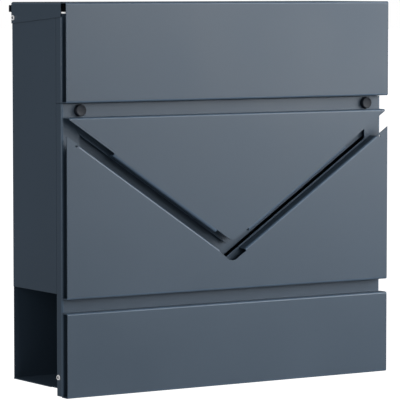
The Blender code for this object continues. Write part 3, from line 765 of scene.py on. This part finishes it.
def build_rivet(node, side):
    """A hollow set rivet: a domed collar outside with a drilled middle, and a flat tail inside."""
    lowest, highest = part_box(node)
    centre = (lowest + highest) / 2
    radius = (highest.z - lowest.z) / 2
    bm = bmesh.new()
    turned(bm, rivet_profile((highest.x - lowest.x) / 2, radius), centre, X_AXIS * side, 32)
    # painted shade: faces inside the drilled bore take the black rubber, standing in for the shade in the
    # hole
    for face in bm.faces:
        middle = face.calc_center_median() - centre
        if hypot(middle.y, middle.z) < radius * RIVET_PAINTED_SHADE_SHARE:
            face.material_index = 1
    piece = publish(bm, node + "_set", rivet_painted_glow(), "case", ZINC_SLOT, node)
    # second material: black rubber as painted shade in the bore
    piece.data.materials.append(rubber())


def build_rivets():
    for family in ("lid_hinge_rivet_", "door_hinge_rivet_"):
        for side in (-1, 1):
            build_rivet(family + side_name(side), side)


def buffer_profile(radius, foot, stem):
    """Half outline of a buffer, back from its face: dished face, round rim, foot and stem."""
    return [(0.5 * MM, 0.0), (0.45 * MM, radius * 0.45), (0.15 * MM, radius * 0.74),
            (0.0, radius * 0.82), (0.15 * MM, radius * 0.90), (0.6 * MM, radius * 0.955),
            (foot - 0.8 * MM, radius), (foot, radius), (foot, radius * 0.42),
            (stem, radius * 0.42), (stem, 0.0)]


def build_buffers():
    """Rubber buttons pressed into the door."""
    for side in (-1, 1):
        node = "lid_buffer_" + side_name(side)
        lowest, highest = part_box(node)
        radius = (highest.x - lowest.x) / 2
        front = lowest.y
        centre = Vector(((lowest.x + highest.x) / 2, front, (lowest.z + highest.z) / 2))
        foot = door_y() - front - RUBBER_FOOT_GAP
        bm = bmesh.new()
        turned(bm, buffer_profile(radius, foot, highest.y - front), centre, Y_AXIS, 48)
        publish(bm, node + "_rubber", rubber(), "door", RUBBER_SLOT, node)


def build_bumpers():
    for side in (-1, 1):
        node = "lid_rear_bumper_" + side_name(side)
        lowest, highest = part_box(node)
        bm = bmesh.new()
        soft_block(bm, lowest, highest, BUMPER_ROUNDING)
        publish(bm, node + "_rubber", rubber(), "lid", RUBBER_SLOT, node)


def build_strips():
    for name in ("wall_strip_upper", "wall_strip_lower"):
        lowest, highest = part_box(name)
        bm = bmesh.new()
        soft_block(bm, lowest, highest, STRIP_ROUNDING)
        publish(bm, name + "_rubber", rubber(), "case", RUBBER_SLOT, name)


def finish_frame_nodes():
    """Coatings on the frame's own parts, whose shapes are already right."""
    finishes = {
        powder_coat: ("compartment_floor", "bottom_plate", "rain_guard"),
        pale_trim_painted_glow: ("slot_edge_trim",),
        zinc: ("door_striker", "lock_nut", "lock_cam", "lock_cam_screw", "lock_plug"),
        chrome: ("lock_housing",),
    }
    for finish, nodes in finishes.items():
        for node in nodes:
            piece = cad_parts[node]
            piece.data.materials.clear()
            piece.data.materials.append(finish())


# ---------------------------------------------------------------- stage

def area_light(name, setup, power):
    """A soft rectangle of light that looks at the middle of the box."""
    offset, width, height = setup
    middle = (Vector(START_BOX[0]) + Vector(START_BOX[1])) / 2
    data = bpy.data.lights.new(name, "AREA")
    data.shape = "RECTANGLE"
    data.size = width
    data.size_y = height
    data.energy = power
    light = bpy.data.objects.new(name, data)
    bpy.context.scene.collection.objects.link(light)
    light.location = middle + Vector(offset)
    light.rotation_euler = (-Vector(offset)).to_track_quat("-Z", "Y").to_euler()


def build_lights():
    light = studio()
    area_light("key", KEY_LIGHT, light.key_power)
    area_light("fill", FILL_LIGHT, light.fill_power)
    area_light("front", FRONT_LIGHT, light.front_power)
    world = bpy.data.worlds.new("studio_surroundings")
    world.use_nodes = True
    nodes = world.node_tree.nodes
    links = world.node_tree.links
    shade = nodes["Background"]
    shade.inputs["Color"].default_value = (1.0, 1.0, 1.0, 1.0)
    ray = nodes.new("ShaderNodeLightPath")
    links.new(remap(nodes, links, ray.outputs["Is Camera Ray"], 0.0, 1.0, light.sky, 1.0),
              shade.inputs["Strength"])
    bpy.context.scene.world = world
    bpy.context.scene.view_settings.view_transform = "Standard"


def floor_paint():
    """White studio floor that keeps its tone under the box and is clear from below."""
    material = bpy.data.materials.new("studio_floor")
    material.use_nodes = True
    nodes = material.node_tree.nodes
    links = material.node_tree.links
    shader = nodes["Principled BSDF"]
    shader.inputs["Roughness"].default_value = 0.9
    place = nodes.new("ShaderNodeTexCoord")
    cloud = nodes.new("ShaderNodeTexNoise")
    cloud.inputs["Scale"].default_value = 3.0
    links.new(place.outputs["Object"], cloud.inputs["Vector"])
    ramp = nodes.new("ShaderNodeMixRGB")
    ramp.inputs["Color1"].default_value = (0.86, 0.86, 0.86, 1.0)
    ramp.inputs["Color2"].default_value = (0.9, 0.9, 0.9, 1.0)
    links.new(cloud.outputs["Fac"], ramp.inputs["Fac"])
    links.new(ramp.outputs["Color"], shader.inputs["Base Color"])
    shader.inputs["Emission Color"].default_value = (1.0, 1.0, 1.0, 1.0)
    ray = nodes.new("ShaderNodeLightPath")
    links.new(remap(nodes, links, ray.outputs["Is Camera Ray"], 0.0, 1.0, 0.0, 1.0),
              shader.inputs["Emission Strength"])
    seen = nodes.new("ShaderNodeNewGeometry")
    links.new(remap(nodes, links, seen.outputs["Backfacing"], 0.0, 1.0, 1.0, 0.0),
              shader.inputs["Alpha"])
    return material


def build_floor():
    bm = bmesh.new()
    bmesh.ops.create_grid(bm, x_segments=8, y_segments=8, size=FLOOR_REACH)
    bmesh.ops.translate(bm, vec=(0, 0, START_BOX[0][2] - studio().floor_drop), verts=bm.verts)
    mesh = bpy.data.meshes.new("studio_floor")
    bm.to_mesh(mesh)
    bm.free()
    mesh.materials.append(floor_paint())
    floor = bpy.data.objects.new("studio_floor", mesh)
    bpy.context.scene.collection.objects.link(floor)


def build_camera():
    view = studio()
    data = bpy.data.cameras.new("camera")
    data.lens = view.lens
    data.clip_start = 0.05
    data.clip_end = 100.0
    camera = bpy.data.objects.new("camera", data)
    bpy.context.scene.collection.objects.link(camera)
    camera.location = CAMERA_PLACE
    camera.rotation_euler = (pi / 2 - view.tilt, 0.0, -view.turn)
    bpy.context.scene.camera = camera


# ---------------------------------------------------------------- operators

class MAILBOX_OT_case(bpy.types.Operator):
    """Fold the case's back and sides and the header behind the lid's flap"""
    bl_idname = "mailbox.case"
    bl_label = "Case and Header"

    def execute(self, context):
        build_case()
        build_header()
        return {"FINISHED"}


class MAILBOX_OT_lid(bpy.types.Operator):
    """Fold the lid"""
    bl_idname = "mailbox.lid"
    bl_label = "Lid"

    def execute(self, context):
        build_lid()
        return {"FINISHED"}


class MAILBOX_OT_door(bpy.types.Operator):
    """Fold the door plate and cut its window"""
    bl_idname = "mailbox.door"
    bl_label = "Door Plate"

    def execute(self, context):
        build_door_plate()
        return {"FINISHED"}


class MAILBOX_OT_envelope(bpy.types.Operator):
    """Fold the proud panels: the envelope's flap and pocket, and the lower panel"""
    bl_idname = "mailbox.envelope"
    bl_label = "Front Panels"

    def execute(self, context):
        build_triangle()
        build_pocket()
        build_lower_panel()
        return {"FINISHED"}


class MAILBOX_OT_rivets(bpy.types.Operator):
    """Set the four hinge rivets"""
    bl_idname = "mailbox.rivets"
    bl_label = "Hinge Rivets"

    def execute(self, context):
        build_rivets()
        return {"FINISHED"}


class MAILBOX_OT_rubber(bpy.types.Operator):
    """Mould the buffers, bumpers and wall strips"""
    bl_idname = "mailbox.rubber"
    bl_label = "Rubber Parts"

    def execute(self, context):
        build_buffers()
        build_bumpers()
        build_strips()
        return {"FINISHED"}


class MAILBOX_OT_coatings(bpy.types.Operator):
    """Coat the parts that keep their own shape"""
    bl_idname = "mailbox.coatings"
    bl_label = "Coatings"

    def execute(self, context):
        finish_frame_nodes()
        return {"FINISHED"}


class MAILBOX_OT_stage(bpy.types.Operator):
    """Set up the floor, lights and camera"""
    bl_idname = "mailbox.stage"
    bl_label = "Stage"

    def execute(self, context):
        build_lights()
        build_floor()
        build_camera()
        return {"FINISHED"}


OPERATORS = (MAILBOX_OT_case, MAILBOX_OT_lid, MAILBOX_OT_door, MAILBOX_OT_envelope,
             MAILBOX_OT_rivets, MAILBOX_OT_rubber, MAILBOX_OT_coatings, MAILBOX_OT_stage)


class MAILBOX_PT_parts(bpy.types.Panel):
    """Lists the mailbox's builders and sizes"""
    bl_idname = "MAILBOX_PT_parts"
    bl_label = "Mailbox"
    bl_space_type = "VIEW_3D"
    bl_region_type = "UI"
    bl_category = "Mailbox"

    def draw(self, context):
        layout = self.layout
        for operator in OPERATORS:
            layout.operator(operator.bl_idname)
        for group in (context.scene.mailbox_sizes, context.scene.mailbox_colours,
                      context.scene.mailbox_studio):
            box = layout.box()
            for key in group.bl_rna.properties.keys():
                if key not in {"rna_type", "name"}:
                    box.prop(group, key)


GROUPS = (MailboxSheetSizes, MailboxColours, MailboxStudio)


def register():
    for item in (*GROUPS, *OPERATORS, MAILBOX_PT_parts):
        bpy.utils.register_class(item)
    bpy.types.Scene.mailbox_sizes = PointerProperty(type=MailboxSheetSizes)
    bpy.types.Scene.mailbox_colours = PointerProperty(type=MailboxColours)
    bpy.types.Scene.mailbox_studio = PointerProperty(type=MailboxStudio)


def unregister():
    del bpy.types.Scene.mailbox_studio
    del bpy.types.Scene.mailbox_colours
    del bpy.types.Scene.mailbox_sizes
    for item in reversed((*GROUPS, *OPERATORS, MAILBOX_PT_parts)):
        bpy.utils.unregister_class(item)


def main():
    register()
    bpy.ops.mailbox.case()
    bpy.ops.mailbox.lid()
    bpy.ops.mailbox.door()
    bpy.ops.mailbox.envelope()
    bpy.ops.mailbox.rivets()
    bpy.ops.mailbox.rubber()
    bpy.ops.mailbox.coatings()
    bpy.ops.mailbox.stage()
    bpy.context.view_layer.update()


if __name__ == "__main__":
    main()
